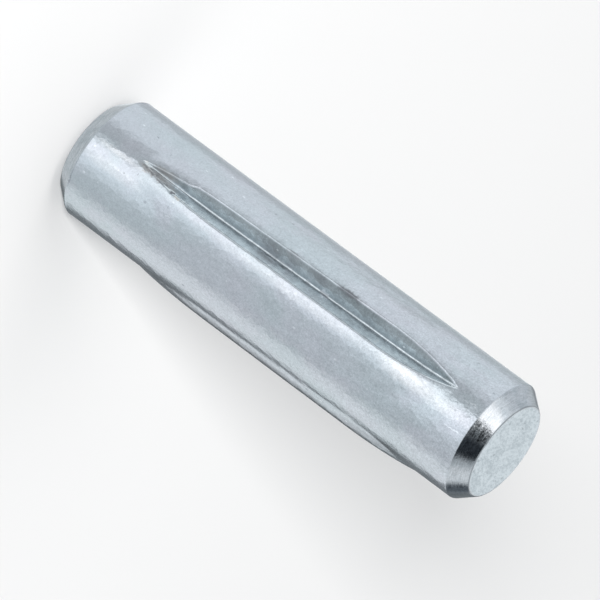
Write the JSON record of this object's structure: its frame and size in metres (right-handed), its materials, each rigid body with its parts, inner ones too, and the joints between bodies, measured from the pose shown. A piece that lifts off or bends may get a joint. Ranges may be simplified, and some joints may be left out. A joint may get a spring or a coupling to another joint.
{
  "type": "grooved pin",
  "caption": "Straight solid steel pin with chamfered ends and lengthwise V grooves pressed along its middle, whose raised lips wedge it in a plain drilled hole.",
  "frame": {"origin": "on the pin's axis at its lower end face, so that the pin stands on the origin", "axes": "+Z along the pin's axis, towards its upper end; the front groove faces -Y"},
  "size_m": [0.0034, 0.0033, 0.0127],
  "materials": {
    "zinc_plate": "bright zinc plate, tumbled satin, with fine dark specks and scuffs"
  },
  "bodies": {
    "root": {"grooved_pin": "zinc_plate"}
  },
  "joints": []
}
